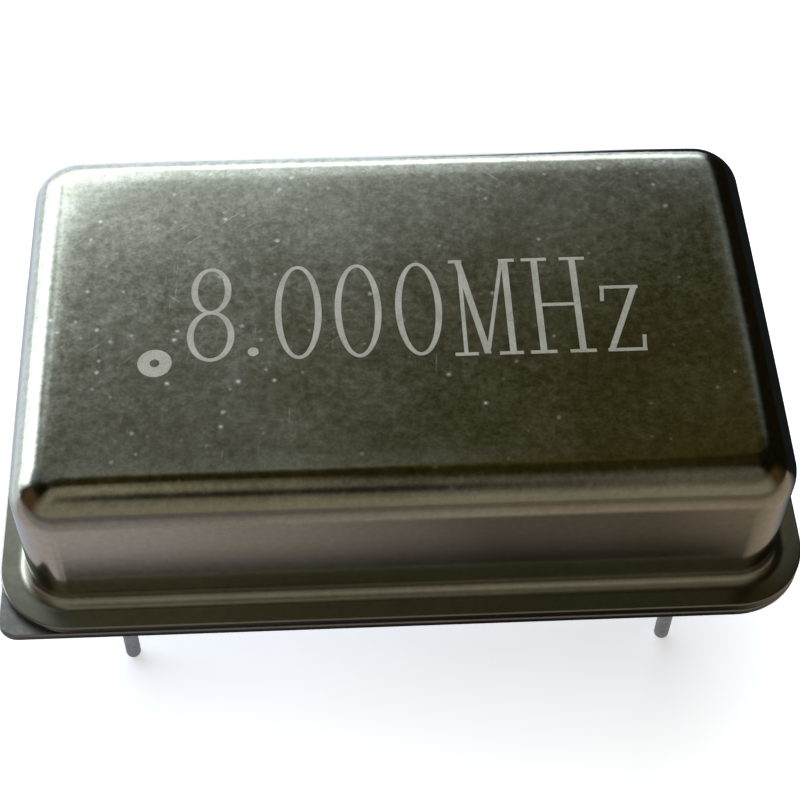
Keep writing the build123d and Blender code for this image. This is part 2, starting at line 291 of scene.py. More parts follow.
# Leads: four round wires of iron alloy, dipped in solder below the seating plane and cropped with a
# rounded tip. The bare core goes up through the header's seal and the substrate to its solder joint.
lead_radius = 0.21 * mm
core_radius = 0.19 * mm
tip_radius = 0.13 * mm
tin_dark = (0.26, 0.265, 0.28, 1)
tin_light = (0.46, 0.465, 0.48, 1)
tin_spot = 0.09 * mm
tin_depth = 0.002 * mm

tinned_wire = metal_finish(
    "tinned_wire", tin_dark, tin_light, tin_spot, gloss=(0.3, 0.46), depth=tin_depth, metallic=0.5,
)
first_low, first_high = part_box("lead_1")
seat = header_low.z
bpy.ops.object.select_all(action="DESELECT")
bpy.ops.mesh.primitive_cylinder_add(vertices=40, radius=lead_radius, depth=seat - first_low.z)
wire = bpy.context.object
wire.location = (0, 0, (seat + first_low.z) / 2)
bpy.ops.object.transform_apply(location=True, rotation=True, scale=True)
bpy.ops.object.mode_set(mode="EDIT")
pick("EDGE", lambda p: abs(p.z - first_low.z) < hair)
bpy.ops.mesh.bevel(offset=tip_radius, segments=6, affect="EDGES")
pick("FACE", lambda p: abs(p.z - seat) < hair)
bpy.ops.mesh.inset(thickness=lead_radius - core_radius)
raise_faces(first_high.z - seat)
bpy.ops.object.mode_set(mode="OBJECT")
smooth_surface(wire)
dress(wire, tinned_wire)
for lead in lead_names:
    lead_low, lead_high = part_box(lead)
    middle = (lead_low + lead_high) / 2
    bpy.ops.object.select_all(action="DESELECT")
    wire.select_set(True)
    bpy.context.view_layer.objects.active = wire
    bpy.ops.object.duplicate(linked=False)
    copy = bpy.context.object
    copy.name = copy.data.name = lead.replace("lead", "lead_wire")
    copy.location = (middle.x, middle.y, 0)
    bpy.ops.object.transform_apply(location=True, rotation=True, scale=True)
    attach(copy, "root")
    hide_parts(lead)
bpy.data.objects.remove(wire)


# Glass seals: beads of dark glass fused between the header and leads 1, 8 and 14, which they insulate.
# The glass wets the wire and the hole, so both ends sag between them.
sealed_leads = [lead for lead in lead_names if lead != ground_lead]
seal_edge = 0.02 * mm
seal_sag = 0.1 * mm
glass_dark = (0.012, 0.02, 0.017, 1)
glass_light = (0.03, 0.05, 0.042, 1)
glass_cloud = 0.4 * mm
bubble_spacing = 0.09 * mm
bubble_depth = 0.001 * mm


def turn_ring(name, axis, profile):
    """A closed ring: a circle is extruded and resized along a profile of radii and heights."""
    bpy.ops.object.select_all(action="DESELECT")
    bpy.ops.mesh.primitive_circle_add(vertices=64, radius=profile[0][0])
    ring = bpy.context.object
    ring.name = ring.data.name = name
    ring.location = (axis.x, axis.y, profile[0][1])
    bpy.ops.object.transform_apply(location=True, rotation=True, scale=True)
    bpy.ops.object.mode_set(mode="EDIT")
    bpy.ops.mesh.select_mode(type="EDGE")
    bpy.ops.mesh.select_all(action="SELECT")
    following = profile[1:] + profile[:1]
    for (radius, height), (next_radius, next_height) in zip(profile, following):
        raise_faces(next_height - height)
        share = next_radius / radius
        bpy.ops.transform.resize(value=(share, share, 1), center_override=(axis.x, axis.y, next_height))
    bpy.ops.mesh.select_all(action="SELECT")
    bpy.ops.mesh.remove_doubles(threshold=hair)
    bpy.ops.mesh.normals_make_consistent(inside=False)
    bpy.ops.object.mode_set(mode="OBJECT")
    smooth_surface(ring)
    return ring


def sagged_profile(outer_radius, edge, sag, steps=8):
    """The outline of a seal's section, with both ends hollowed."""
    width = outer_radius - core_radius
    lower = []
    for step in range(steps + 1):
        share = step / steps
        dip = edge + sag * 4 * share * (1 - share)
        lower.append((core_radius + share * width, header_low.z + dip))
    upper = [(radius, header_high.z - (height - header_low.z)) for radius, height in reversed(lower)]
    return lower + upper


def seal_glass_finish():
    """Dark fused glass: a little uneven in colour, glossy, with fine bubbles under its skin."""
    material, tree, shader, place = start_material("seal_glass")
    clouds = grain(tree, place, glass_cloud)
    cells = add_node(tree, "TexVoronoi", {"Vector": place, "Scale": 1 / bubble_spacing})
    bubbles = spread(tree, cells.outputs["Distance"], 0.1, 0.3)
    colour = tone(tree, spread(tree, clouds, 0.35, 0.65), glass_dark, glass_light)
    links = tree.links
    links.new(colour, shader.inputs["Base Color"])
    links.new(spread(tree, clouds, 0.3, 0.7, 0.05, 0.14), shader.inputs["Roughness"])
    links.new(relief(tree, bubbles, bubble_depth), shader.inputs["Normal"])
    shader.inputs["IOR"].default_value = 1.52
    return material


seal_glass = seal_glass_finish()
seal_profile = sagged_profile(seal_radius, seal_edge, seal_sag)
for lead in sealed_leads:
    lead_low, lead_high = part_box(lead)
    seal_name = lead.replace("lead", "glass_seal")
    bead = turn_ring(seal_name + "_bead", (lead_low + lead_high) / 2, seal_profile)
    dress(bead, seal_glass)
    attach(bead, "root")
    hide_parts(seal_name)


# Ground braze: a ring of braze alloy that joins lead 7 straight to the header, so that the can is grounded.
# It has run between the wire and the hole, and both its ends are hollowed a little.
braze_sag = 0.08 * mm
braze_dark = (0.45, 0.33, 0.17, 1)
braze_light = (0.74, 0.6, 0.38, 1)
braze_spot = 0.06 * mm

lead_low, lead_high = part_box(ground_lead)
braze_profile = sagged_profile(braze_radius, seal_edge, braze_sag)
braze = turn_ring("ground_braze_ring", (lead_low + lead_high) / 2, braze_profile)
dress(braze, metal_finish("braze_metal", braze_dark, braze_light, braze_spot, gloss=(0.25, 0.45)))
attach(braze, "root")
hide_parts("ground_braze")


# Substrate and its bond: a fired alumina plate, off-white and matt, held on the platform by a film of
# amber epoxy.
alumina_dark = (0.72, 0.71, 0.67, 1)
alumina_light = (0.92, 0.91, 0.88, 1)
epoxy_dark = (0.36, 0.22, 0.08, 1)
epoxy_light = (0.68, 0.5, 0.26, 1)
alumina_spot = 0.04 * mm
epoxy_spot = 0.1 * mm
matt_depth = 0.002 * mm
matt_cloud_to_spot = 10


def matt_finish(name, dark, light, spot, gloss=(0.5, 0.75), metallic=0.0):
    """A matt surface of fired or cured stuff: specks in its colour, an uneven gloss and a fine grain."""
    material, tree, shader, place = start_material(name)
    clouds = grain(tree, place, matt_cloud_to_spot * spot)
    specks = grain(tree, place, spot, detail=4.0, roughness=0.7)
    mix = weigh(tree, clouds, specks, 0.6)
    links = tree.links
    links.new(tone(tree, spread(tree, mix, 0.35, 0.65), dark, light), shader.inputs["Base Color"])
    links.new(spread(tree, specks, 0.35, 0.65, *gloss), shader.inputs["Roughness"])
    links.new(relief(tree, specks, matt_depth), shader.inputs["Normal"])
    shader.inputs["Metallic"].default_value = metallic
    return material


bond_epoxy = matt_finish("bond_epoxy", epoxy_dark, epoxy_light, epoxy_spot, gloss=(0.2, 0.4))
dress(nodes["substrate_bond"], bond_epoxy)
dress(nodes["substrate"], matt_finish("alumina", alumina_dark, alumina_light, alumina_spot))


# Conductor tracks and resistor: pastes printed on the substrate and fired, a dull silver-palladium for the
# tracks and a black glassy film for the resistor.
track_dark = (0.42, 0.4, 0.36, 1)
track_light = (0.74, 0.72, 0.67, 1)
resistor_dark = (0.012, 0.012, 0.013, 1)
resistor_light = (0.06, 0.06, 0.058, 1)
film_spot = 0.03 * mm

track_film = matt_finish("track_film", track_dark, track_light, film_spot, gloss=(0.38, 0.6), metallic=1.0)
resistor_film = matt_finish("resistor_film", resistor_dark, resistor_light, film_spot, gloss=(0.25, 0.5))
dress(nodes["conductor_tracks"], track_film)
dress(nodes["printed_resistor"], resistor_film)


# Oscillator die with its bond: a polished chip of silicon, blue-grey, set in silver-filled epoxy on the
# ground track.
silver_epoxy_dark = (0.32, 0.31, 0.3, 1)
silver_epoxy_light = (0.62, 0.61, 0.58, 1)
silicon_dark = (0.09, 0.1, 0.14, 1)
silicon_light = (0.26, 0.27, 0.34, 1)
silver_epoxy_spot = 0.03 * mm
die_cell = 0.12 * mm
die_grain = 0.02 * mm
die_depth = 0.0006 * mm


def silicon_finish():
    """Polished silicon with the fine blocks of a circuit in it."""
    material, tree, shader, place = start_material("silicon")
    blocks = add_node(tree, "TexBrick", {"Vector": place, "Scale": 1 / die_cell, "Mortar Size": 0.04})
    blocks.inputs["Color1"].default_value = silicon_dark
    blocks.inputs["Color2"].default_value = silicon_light
    blocks.inputs["Mortar"].default_value = silver_epoxy_light
    links = tree.links
    links.new(blocks.outputs["Color"], shader.inputs["Base Color"])
    links.new(spread(tree, grain(tree, place, die_grain), 0.3, 0.7, 0.1, 0.25), shader.inputs["Roughness"])
    links.new(relief(tree, blocks.outputs["Fac"], die_depth), shader.inputs["Normal"])
    shader.inputs["Metallic"].default_value = 0.6
    return material


silver_epoxy = matt_finish(
    "silver_epoxy", silver_epoxy_dark, silver_epoxy_light, silver_epoxy_spot, metallic=0.5,
)
dress(nodes["die_bond"], silver_epoxy)
dress(nodes["oscillator_die"], silicon_finish())


# Bond ribbons: six bright ribbons of rolled gold, which join the die to the circuit. Each is welded to the
# die, loops over its edge and is welded to the end of a track.
gold_dark = (0.72, 0.48, 0.16, 1)
gold_light = (0.98, 0.78, 0.36, 1)
gold_spot = 0.02 * mm

gold_ribbon = metal_finish("gold_ribbon", gold_dark, gold_light, gold_spot, gloss=(0.12, 0.3))
dress(nodes["bond_ribbons"], gold_ribbon)


# Bypass capacitor: a chip of brown fired ceramic with a matt tin cup over each end. It stands on the pads of
# the supply and ground tracks.
ceramic_dark = (0.27, 0.18, 0.11, 1)
ceramic_light = (0.52, 0.38, 0.26, 1)
ceramic_spot = 0.05 * mm
cup_spot = 0.04 * mm

dress(nodes["capacitor_body"], matt_finish("capacitor_ceramic", ceramic_dark, ceramic_light, ceramic_spot))
tin_plate = metal_finish("tin_plate", tin_dark, tin_light, cup_spot, gloss=(0.4, 0.6))
dress(nodes["capacitor_terminals"], tin_plate)


# Crystal: a lapped quartz disc, frosted and clear, with a silver film on each face, carried by two clips of
# rolled nickel-silver strip and held in them by silver-filled cement.
strip_dark = (0.5, 0.47, 0.41, 1)
strip_light = (0.78, 0.75, 0.68, 1)
quartz_dark = (0.7, 0.73, 0.74, 1)
quartz_light = (0.92, 0.94, 0.94, 1)
silver_dark = (0.7, 0.7, 0.68, 1)
silver_light = (0.93, 0.92, 0.9, 1)
strip_spot = 0.05 * mm
silver_spot = 0.04 * mm
frost_size = 0.02 * mm
frost_depth = 0.0008 * mm


def quartz_finish():
    """Lapped quartz: clear inside, with a fine frost on its faces."""
    material, tree, shader, place = start_material("quartz")
    frost = grain(tree, place, frost_size, detail=4.0)
    colour = tone(tree, spread(tree, frost, 0.3, 0.7), quartz_dark, quartz_light)
    links = tree.links
    links.new(colour, shader.inputs["Base Color"])
    links.new(spread(tree, frost, 0.3, 0.7, 0.18, 0.42), shader.inputs["Roughness"])
    links.new(relief(tree, frost, frost_depth), shader.inputs["Normal"])
    shader.inputs["IOR"].default_value = 1.54
    shader.inputs["Transmission Weight"].default_value = 0.7
    return material


clip_strip = metal_finish("clip_strip", strip_dark, strip_light, strip_spot)
electrode_film = metal_finish("electrode_film", silver_dark, silver_light, silver_spot, gloss=(0.1, 0.25))
for node in ("crystal_clip_left", "crystal_clip_right"):
    dress(nodes[node], clip_strip)
dress(nodes["quartz_blank"], quartz_finish())
for node in ("electrode_upper", "electrode_lower"):
    dress(nodes[node], electrode_film)
for node in ("cement_left", "cement_right"):
    dress(nodes[node], silver_epoxy)


# Solder joints: a cone of bright soft solder round each lead's end. It stands on the lead's pad and joins
# the lead to the track.
solder_dark = (0.5, 0.5, 0.5, 1)
solder_light = (0.78, 0.78, 0.77, 1)
solder_spot = 0.08 * mm

solder = metal_finish("solder", solder_dark, solder_light, solder_spot, gloss=(0.15, 0.35))
for lead in lead_names:
    dress(nodes[lead.replace("lead", "solder_joint")], solder)


# Cover: the can itself, deep drawn from one steel sheet with a flange all round, nickel plated to a satin
# olive grey. The flange is welded to the header along a low ridge under it. Handling has left its top
# mottled, with bright specks and fine scratches.
cover_low, cover_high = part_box("cover")
marking_height = 0.004 * mm
dome_top = cover_high.z - marking_height
cover_sheet = 0.25 * mm
flange_top = 0.52 * mm
flange_overhang = 0.75 * mm
dome_edge_radius = 1.0 * mm
flange_bend_radius = 0.33 * mm
flange_edge_radius = 0.05 * mm
sharp_edge = math.radians(50)
weld_inset = 0.15 * mm
weld_width = 0.2 * mm
crown_margin = 0.45 * mm
crown_drop = 0.011 * mm
corner_reach = 2.6 * mm
corner_drop = 0.03 * mm
crown_insets_mm = (0.24, 0.31, 0.38, 0.45, 0.6, 0.8, 1.05, 1.3, 1.6, 1.9, 2.25, 2.6)
nickel_dark = (0.2, 0.19, 0.125, 1)
nickel_light = (0.39, 0.376, 0.295, 1)
nickel_bright = (0.7, 0.69, 0.62, 1)
bend_matt = 0.18
flange_matt = 0.16
side_mottle = 0.35
nickel_cloud = 2.2 * mm
nickel_blotch = 0.2 * mm
nickel_depth = 0.00003 * mm
speck_spacing = 0.45 * mm
speck_share = 0.75
scratch_width = 0.04 * mm
scratch_patch = 1.6 * mm
scratch_turns_lengths = ((0.7, 1.6 * mm), (-0.7, 1.0 * mm), (1.5, 1.2 * mm))


def speck_marks(tree, place):
    """Small soft specks, one in some of the cells that the surface is divided into."""
    cells = add_node(tree, "TexVoronoi", {"Vector": place, "Scale": 1 / speck_spacing})
    chance = add_node(tree, "SeparateColor", {"Color": cells.outputs["Color"]}).outputs
    chosen = combine(tree, "LESS_THAN", chance["Red"], speck_share)
    reach = spread(tree, chance["Green"], 0.0, 1.0, 0.1, 0.22)
    near = combine(tree, "SUBTRACT", reach, cells.outputs["Distance"])
    strong = spread(tree, chance["Blue"], 0.0, 1.0, 0.15, 0.55)
    chosen_strong = combine(tree, "MULTIPLY", chosen, strong)
    return combine(tree, "MULTIPLY", chosen_strong, spread(tree, near, 0.0, 0.18))


def scratch_marks(tree, place, turn, length):
    """Sparse fine scratches in one direction: a noise drawn out long and cut near its top."""
    stretch = (length / scratch_width, 1, 1)
    drawn = grain(tree, place, scratch_width, detail=1.0, stretch=stretch, turn=turn)
    sparse = grain(tree, place, scratch_patch, detail=0.0)
    strong = spread(tree, drawn, 0.7, 0.82)
    return combine(tree, "MULTIPLY", strong, spread(tree, sparse, 0.52, 0.68, 0.0, 0.3))


def plated_cover_finish():
    """Satin nickel: mottled and marked, most on the top, duller in the bend, and bare on the cut edge, which
    is painted near black as painted shade in the seam.
    """
    material, tree, shader, place = start_material("plated_cover")
    links = tree.links
    clouds = grain(tree, place, nickel_cloud)
    blotches = grain(tree, place, nickel_blotch, detail=5.0, roughness=0.75)
    mix = weigh(tree, clouds, blotches, 0.7)
    height = add_node(tree, "SeparateXYZ", {"Vector": place}).outputs["Z"]
    edge_foot = dome_top - dome_edge_radius / 2
    edge_head = dome_top - dome_edge_radius / 10
    worn = spread(tree, height, edge_foot, edge_head, side_mottle, 1.0)
    mottle = combine(tree, "SUBTRACT", spread(tree, mix, 0.36, 0.64), 0.5)
    mottle = combine(tree, "ADD", combine(tree, "MULTIPLY", mottle, worn), 0.5)
    marks = speck_marks(tree, place)
    for turn, length in scratch_turns_lengths:
        marks = combine(tree, "MAXIMUM", marks, scratch_marks(tree, place, turn, length))
    marks = combine(tree, "MULTIPLY", marks, worn)
    # Painted shade: the flange's cut edge is painted near black for the shade in the seam over the header
    on_cut = spread(tree, height, flange_top - 0.2 * flange_edge_radius, flange_top - flange_edge_radius)
    plated = tone(tree, mottle, nickel_dark, nickel_light)
    plain = add_node(tree, "MixRGB", {"Fac": on_cut, "Color1": plated, "Color2": bare_edge_with_painted_shade}).outputs[0]
    marked = add_node(tree, "MixRGB", {"Fac": marks, "Color1": plain, "Color2": nickel_bright})
    links.new(marked.outputs[0], shader.inputs["Base Color"])
    gloss = spread(tree, mottle, 0.0, 1.0, 0.1, 0.16)
    bend_top = flange_top + flange_bend_radius
    below_wall = spread(tree, height, bend_top + flange_bend_radius / 3, bend_top - flange_bend_radius / 3)
    matt = spread(tree, height, flange_top, flange_top + flange_bend_radius / 4, flange_matt, bend_matt)
    gloss = combine(tree, "ADD", gloss, combine(tree, "MULTIPLY", below_wall, matt))
    gloss = combine(tree, "ADD", gloss, combine(tree, "MULTIPLY", marks, 0.3))
    links.new(gloss, shader.inputs["Roughness"])
    links.new(relief(tree, blotches, nickel_depth), shader.inputs["Normal"])
    shader.inputs["Metallic"].default_value = 1.0
    return material


def bent(share):
    """How far a surface has fallen: not at all below 0, curved from 0 to 1, and straight beyond."""
    return max(0.0, share) ** 2 if share < 1 else 2 * share - 1


def lower_crown():
    """Lets the top of the open mesh fall away, a little near its edges and more near its corners."""
    shape = bmesh.from_edit_mesh(bpy.context.object.data)
    for vertex in shape.verts:
        if vertex.co.z < dome_top - dome_edge_radius - hair:
            continue
        past_x = abs(vertex.co.x) - flat_x
        past_y = abs(vertex.co.y) - flat_y
        edges = bent(1 + past_x / crown_margin) + bent(1 + past_y / crown_margin)
        corner = bent(1 + (past_x + past_y) / corner_reach)
        vertex.co.z -= crown_drop * edges + corner_drop * corner
    bmesh.update_edit_mesh(bpy.context.object.data)


cover = start_plate("cover_shell", cover_low, cover_high, flange_top)
bpy.ops.mesh.bevel(offset=round_corner_radius, segments=28, affect="VERTICES")
bpy.ops.mesh.select_all(action="SELECT")
bpy.ops.mesh.inset(thickness=flange_overhang)
raise_faces(dome_top - flange_top)
pick("EDGE", lambda p: abs(p.z - dome_top) < hair)
bpy.ops.mesh.bevel(offset=dome_edge_radius, segments=28, affect="EDGES")
inner_x = cover_high.x - flange_overhang
inner_y = cover_high.y - flange_overhang
within_x = inner_x + hair
within_y = inner_y + hair
pick("EDGE", lambda p: abs(p.z - flange_top) < hair and abs(p.x) < within_x and abs(p.y) < within_y)
bpy.ops.mesh.bevel(offset=flange_bend_radius, segments=12, affect="EDGES")
flat_x = inner_x - dome_edge_radius
flat_y = inner_y - dome_edge_radius
for inset_mm in crown_insets_mm:
    inset = inset_mm * mm
    for cut, across in ((flat_x - inset, (1, 0, 0)), (flat_y - inset, (0, 1, 0))):
        for side in (-1, 1):
            pick("FACE", lambda p: p.z > dome_top - dome_edge_radius - hair)
            bpy.ops.mesh.bisect(plane_co=[side * cut * share for share in across], plane_no=across)
lower_crown()
bpy.ops.object.mode_set(mode="OBJECT")
finish_modifier(cover, "SOLIDIFY", thickness=cover_sheet, offset=-1, use_even_offset=True)
finish_modifier(
    cover, "BEVEL", width=flange_edge_radius, segments=4, limit_method="ANGLE", angle_limit=sharp_edge,
)

ridge_margin = Vector((weld_inset, weld_inset, 0))
ridge = start_plate("weld_ridge", cover_low + ridge_margin, cover_high - ridge_margin, cover_low.z)
bpy.ops.mesh.bevel(offset=round_corner_radius - weld_inset, segments=28, affect="VERTICES")
bpy.ops.mesh.select_all(action="SELECT")
bpy.ops.mesh.inset(thickness=weld_width)
bpy.ops.mesh.delete(type="FACE")
bpy.ops.mesh.select_all(action="SELECT")
raise_faces(flange_top - cover_sheet / 2 - cover_low.z)
bpy.ops.mesh.select_all(action="SELECT")
bpy.ops.mesh.normals_make_consistent(inside=False)
bpy.ops.object.mode_set(mode="OBJECT")
finish_modifier(cover, "BOOLEAN", operation="UNION", object=ridge, solver="EXACT")
bpy.data.objects.remove(ridge)
smooth_surface(cover)
dress(cover, plated_cover_finish())
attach(cover, "root")
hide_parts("cover")


# Marking: a plain frequency figure and the ring that marks lead 1, cut into the plating by a laser, which
# leaves a pale matt track. Each figure and letter is joined from thick and thin strokes.
marking_foot = 0.02 * mm
thick_stroke = 0.165 * mm
thin_stroke = 0.1 * mm
baseline = -1.64 * mm
cap_height = 3.0 * mm
digit_width = 1.18 * mm
first_digit_x = -4.7 * mm
zero_x = (-2.51 * mm, -1.0 * mm, 0.53 * mm)
point_x = -3.64 * mm
point_width = 0.27 * mm
lead_ring_x = -6.07 * mm
lead_ring_width = 0.84 * mm
lead_ring_stroke = 0.3 * mm
m_left = 1.37 * mm
m_width = 1.7 * mm
h_left = 3.25 * mm
h_width = 1.64 * mm
z_left = 5.18 * mm
z_width = 0.98 * mm
small_height_share = 0.67
lower_round_share = 0.53
upper_round_share = 0.5
upper_width_share = 0.86
mark_dark = (0.25, 0.225, 0.165, 1)
mark_light = (0.45, 0.41, 0.32, 1)
mark_grain = 0.05 * mm
mark_cloud = 0.6 * mm
mark_depth = 0.001 * mm
stroke_foot = dome_top - marking_foot
strokes = []


def finish_stroke():
    """Gives the flat outline that is open its height, and keeps it as one stroke."""
    bpy.ops.mesh.select_all(action="SELECT")
    raise_faces(marking_height + marking_foot)
    bpy.ops.mesh.select_all(action="SELECT")
    bpy.ops.mesh.normals_make_consistent(inside=False)
    bpy.ops.object.mode_set(mode="OBJECT")
    strokes.append(bpy.context.object)


def straight_stroke(foot, head, width):
    """An upright or leaning stroke, cut level at its foot and head."""
    low = Vector((foot[0] - width / 2, foot[1], 0))
    high = Vector((foot[0] + width / 2, head[1], 0))
    start_plate("stroke", low, high, stroke_foot)
    pick("VERT", lambda p: p.y > (foot[1] + head[1]) / 2)
    bpy.ops.transform.translate(value=(head[0] - foot[0], 0, 0))
    finish_stroke()


def level_stroke(left, right, height):
    """A thin level stroke or serif."""
    low = Vector((left, height - thin_stroke / 2, 0))
    high = Vector((right, height + thin_stroke / 2, 0))
    start_plate("stroke", low, high, stroke_foot)
    finish_stroke()


def ring_stroke(x, y, width, height, side, end):
    """A round stroke: two ellipses bridged, which leave its sides and its ends as thick as given."""
    bpy.ops.object.select_all(action="DESELECT")
    bpy.ops.mesh.primitive_circle_add(vertices=72, radius=0.5)
    ring = bpy.context.object
    ring.scale = (width, height, 1)
    ring.location = (x, y, stroke_foot)
    bpy.ops.object.transform_apply(location=True, rotation=True, scale=True)
    bpy.ops.object.mode_set(mode="EDIT")
    bpy.ops.mesh.select_all(action="SELECT")
    bpy.ops.mesh.duplicate()
    inner = (1 - 2 * side / width, 1 - 2 * end / height, 1)
    bpy.ops.transform.resize(value=inner, center_override=(x, y, stroke_foot))
    bpy.ops.mesh.select_all(action="SELECT")
    bpy.ops.mesh.bridge_edge_loops()
    finish_stroke()


def round_dot(x, y, width):
    """A filled round dot."""
    bpy.ops.object.select_all(action="DESELECT")
    bpy.ops.mesh.primitive_circle_add(vertices=32, radius=width / 2, fill_type="NGON")
    dot = bpy.context.object
    dot.location = (x, y, stroke_foot)
    bpy.ops.object.transform_apply(location=True, rotation=True, scale=True)
    bpy.ops.object.mode_set(mode="EDIT")
    finish_stroke()


def letter_place(left, width):
    """Turns shares of a letter's width and of the capitals' height into a place on the top face."""
    return lambda across, up: (left + across * width, baseline + up * cap_height)


def etched_finish():
    """A laser track: pale, matt and grainy, where the plating has been roughened."""
    material, tree, shader, place = start_material("etched_track")
    grains = grain(tree, place, mark_grain)
    clouds = grain(tree, place, mark_cloud)
    mix = weigh(tree, clouds, grains, 0.6)
    links = tree.links
    links.new(tone(tree, spread(tree, mix, 0.34, 0.66), mark_dark, mark_light), shader.inputs["Base Color"])
    links.new(spread(tree, grains, 0.3, 0.7, 0.42, 0.58), shader.inputs["Roughness"])
    links.new(relief(tree, grains, mark_depth), shader.inputs["Normal"])
    shader.inputs["Metallic"].default_value = 0.7
    return material


# Figure eight with its two rounds, then the zeros, the ring at lead 1 and the point
ring_stroke(
    first_digit_x, baseline + lower_round_share * cap_height / 2,
    digit_width, lower_round_share * cap_height, thick_stroke, thin_stroke,
)
ring_stroke(
    first_digit_x, baseline + (1 - upper_round_share / 2) * cap_height,
    upper_width_share * digit_width, upper_round_share * cap_height, thick_stroke, thin_stroke,
)
for x in zero_x:
    ring_stroke(x, baseline + cap_height / 2, digit_width, cap_height, thick_stroke, thin_stroke)
ring_stroke(lead_ring_x, baseline, lead_ring_width, lead_ring_width, lead_ring_stroke, lead_ring_stroke)
round_dot(point_x, baseline + point_width, point_width)

# Capital M: a thin and a thick upright, a thick and a thin diagonal, four serifs
place_m = letter_place(m_left, m_width)
straight_stroke(place_m(0.16, 0), place_m(0.16, 1), thin_stroke)
straight_stroke(place_m(0.48, 0), place_m(0.14, 1), thick_stroke)
straight_stroke(place_m(0.48, 0), place_m(0.8, 1), thin_stroke)
straight_stroke(place_m(0.85, 0), place_m(0.85, 1), thick_stroke)
for left, right, up in ((0, 0.2, 1), (0.76, 1, 1), (0, 0.34, 0), (0.65, 1, 0)):
    level_stroke(place_m(left, up)[0], place_m(right, up)[0], place_m(left, up)[1])

# Capital H: two thick uprights, a thin bar, four serifs
place_h = letter_place(h_left, h_width)
for across in (0.2, 0.8):
    straight_stroke(place_h(across, 0), place_h(across, 1), thick_stroke)
for left, right, up in ((0, 0.4, 1), (0.6, 1, 1), (0, 0.4, 0), (0.6, 1, 0), (0.2, 0.8, 0.5)):
    level_stroke(place_h(left, up)[0], place_h(right, up)[0], place_h(left, up)[1])

# Small z: a thick diagonal between two thin bars, each with a tick at its free end
place_z = letter_place(z_left, z_width)
straight_stroke(place_z(0.1, 0), place_z(0.9, small_height_share), thick_stroke)
for up in (0, small_height_share):
    level_stroke(place_z(0, up)[0], place_z(1, up)[0], place_z(0, up)[1])
straight_stroke(place_z(0.02, 0.52), place_z(0.06, small_height_share), thin_stroke)
straight_stroke(place_z(0.94, 0), place_z(0.98, 0.15), thin_stroke)

marking = strokes[0]
marking.name = marking.data.name = "frequency_marking"
for stroke in strokes[1:]:
    finish_modifier(marking, "BOOLEAN", operation="UNION", object=stroke, solver="EXACT")
    bpy.data.objects.remove(stroke)
dress(marking, etched_finish())
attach(marking, "root")


# Floor: a plain pale table under the lead tips. What the can mirrors of it is a painted reflection, a glow
# set by place:
# painted light behind and to the left, and painted shade in front and to the right, where the window's light
# doesn't reach.
# Under the front edge the can's own shadow is painted on it, and a painted contact shadow lies close behind
# the can.
floor_size = 3.0
floor_pale = (0.9, 0.9, 0.9, 1)
floor_painted_reflection_behind = (0.86, 0.98, 1.2, 1)
floor_painted_reflection_left = (1.0, 0.94, 1.06, 1)
floor_painted_reflection_right = (1.0, 0.84, 0.72, 1)
floor_matt = 0.9
floor_glow = 0.55
left_light = (0.78, 0.19)
right_light = (0.0, 0.42)
far_light = (0.56, 0.28)
shade_light = 0.04
behind_light = (0.65, 1.8)
dark_right_light = 0.012
left_light_x = (-10 * mm, 3 * mm)
right_light_x = (8 * mm, 16 * mm)
near_to_far_y = (-12.5 * mm, -17 * mm)
far_fade_y = (-18 * mm, -50 * mm)
shade_end_x = (9.5 * mm, 12 * mm)
shade_front_y = (-10.4 * mm, -11.25 * mm)
can_half_x = 10 * mm
can_half_y = 6.5 * mm
behind_reach = (5 * mm, 18 * mm)
dark_right_x = (12 * mm, 8 * mm)
back_to_front_y = (0.0, -6 * mm)
hue_x = (-9 * mm, 9 * mm)

bpy.ops.object.select_all(action="DESELECT")
bpy.ops.mesh.primitive_plane_add(size=floor_size, location=(0, 0, cad_box[0].z))
floor = bpy.context.object
floor.name = "floor"
material, tree, shader, place = start_material("pale_floor")
shader.inputs["Base Color"].default_value = floor_pale
shader.inputs["Roughness"].default_value = floor_matt
shader.inputs["Emission Color"].default_value = floor_pale
shader.inputs["Emission Strength"].default_value = floor_glow
across = add_node(tree, "SeparateXYZ", {"Vector": place}).outputs


def blend(share, first, second):
    """A value that goes from the first to the second with a share."""
    kept = combine(tree, "MULTIPLY", first, combine(tree, "SUBTRACT", 1.0, share))
    return combine(tree, "ADD", kept, combine(tree, "MULTIPLY", second, share))


from_left = spread(tree, across["X"], *left_light_x, *left_light)
near_front = combine(tree, "ADD", from_left, spread(tree, across["X"], *right_light_x, *right_light))
far_front = spread(tree, across["Y"], *far_fade_y, *far_light)
front = blend(spread(tree, across["Y"], *near_to_far_y), near_front, far_front)
beside_x = combine(tree, "ABSOLUTE", across["X"], 0.0)
beside_y = combine(tree, "ABSOLUTE", across["Y"], 0.0)
# Painted shadow of the can on the floor in front of its front edge, open past its ends
past_ends = spread(tree, beside_x, *shade_end_x)
unshaded = combine(tree, "MAXIMUM", past_ends, spread(tree, across["Y"], *shade_front_y))
front = combine(tree, "MULTIPLY", front, spread(tree, unshaded, 0.0, 1.0, shade_light, 1.0))
# Painted contact shadow close behind the can, and painted shade behind to the right
from_end = combine(tree, "SUBTRACT", beside_x, can_half_x)
from_side = combine(tree, "SUBTRACT", beside_y, can_half_y)
away = combine(tree, "MAXIMUM", from_end, from_side)
open_left = spread(tree, across["X"], *dark_right_x, dark_right_light, 1.0)
behind = combine(tree, "MULTIPLY", spread(tree, away, *behind_reach, *behind_light), open_left)
in_front = spread(tree, across["Y"], *back_to_front_y)
glow = blend(in_front, behind, front)
front_hue = tone(tree, spread(tree, across["X"], *hue_x), floor_painted_reflection_left, floor_painted_reflection_right)
hue = add_node(tree, "MixRGB", {"Fac": in_front, "Color1": floor_painted_reflection_behind, "Color2": front_hue})
